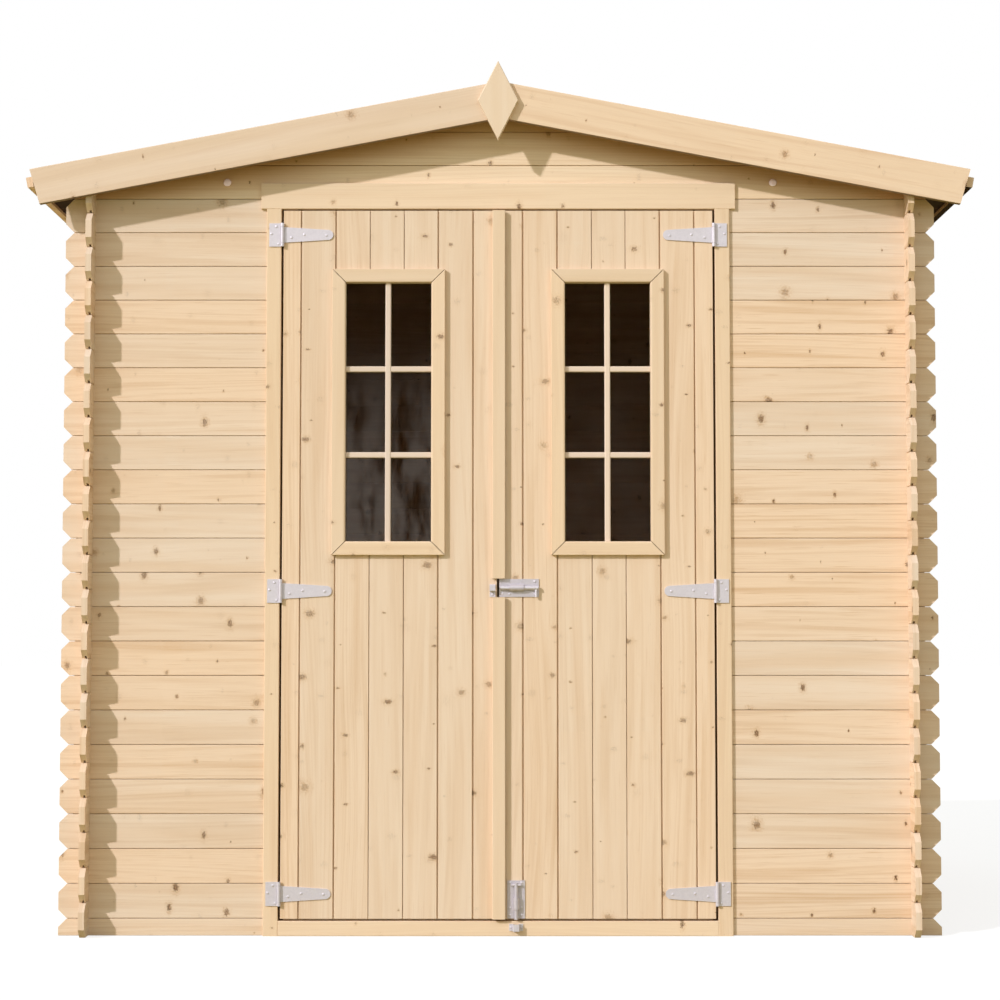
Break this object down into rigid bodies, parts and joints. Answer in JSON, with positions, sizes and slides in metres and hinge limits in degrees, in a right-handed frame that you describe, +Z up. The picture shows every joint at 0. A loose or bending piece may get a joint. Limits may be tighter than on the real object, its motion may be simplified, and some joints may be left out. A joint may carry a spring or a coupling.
{
  "type": "wooden garden shed",
  "caption": "Pale wooden garden shed of interlocking boards with a low gable roof, a diamond at the peak and a glazed double door on strap hinges.",
  "frame": {"origin": "on the ground at the middle of the shed's outer box", "axes": "+Z up, the front with the doors faces -Y, +X to the right seen from the front"},
  "size_m": [2.488, 2.074, 2.2815],
  "materials": {
    "wall_wood": "matte",
    "planed_wood": "matte",
    "glass": "gloss",
    "zinc": "satin"
  },
  "bodies": {
    "shed": {"front_wall_left": "wall_wood", "front_wall_right": "wall_wood", "front_gable": "wall_wood", "back_wall": "wall_wood", "back_gable": "wall_wood", "left_wall": "wall_wood", "right_wall": "wall_wood", "ridge_purlin": "wall_wood", "left_purlin": "wall_wood", "right_purlin": "wall_wood", "roof_left": "planed_wood", "roof_right": "planed_wood", "front_fascia_left": "planed_wood", "front_fascia_right": "planed_wood", "back_fascia_left": "planed_wood", "back_fascia_right": "planed_wood", "eave_batten_left": "wall_wood", "eave_batten_right": "wall_wood", "diamond": "planed_wood", "door_jamb_left": "planed_wood", "door_jamb_right": "planed_wood", "door_lintel": "planed_wood", "door_sill": "planed_wood", "hinge_plates_left": "zinc", "hinge_plates_right": "zinc", "sill_keeper": "zinc"},
    "left_door": {"left_door_boards": "wall_wood", "left_door_ledges": "wall_wood", "left_window_frame": "planed_wood", "left_window_glass": "glass", "cover_strip": "planed_wood", "left_hinge_straps": "zinc", "latch_keeper": "zinc"},
    "right_door": {"right_door_boards": "wall_wood", "right_door_ledges": "wall_wood", "right_window_frame": "planed_wood", "right_window_glass": "glass", "right_hinge_straps": "zinc", "latch_plate": "zinc", "bottom_bolt_plate": "zinc"},
    "latch": {"latch_bolt": "zinc"},
    "foot_bolt": {"bottom_bolt": "zinc"}
  },
  "joints": [
    {"name": "left_door_hinge", "type": "hinge", "parent": "shed", "child": "left_door", "pos_m": [-0.575, -0.952, 0.896], "axis": [0, 0, -1], "range_deg": [0, 165]},
    {"name": "right_door_hinge", "type": "hinge", "parent": "shed", "child": "right_door", "pos_m": [0.565, -0.952, 0.896], "axis": [0, 0, 1], "range_deg": [0, 165]},
    {"name": "latch_slide", "type": "slide", "parent": "right_door", "child": "latch", "axis": [-1, 0, 0], "range_m": [0, 0.028]},
    {"name": "foot_bolt_slide", "type": "slide", "parent": "right_door", "child": "foot_bolt", "axis": [0, 0, -1], "range_m": [0, 0.028]}
  ],
  "couplings": [
    {"joint": "right_door_hinge", "follows": "left_door_hinge", "ratio": 1}
  ]
}
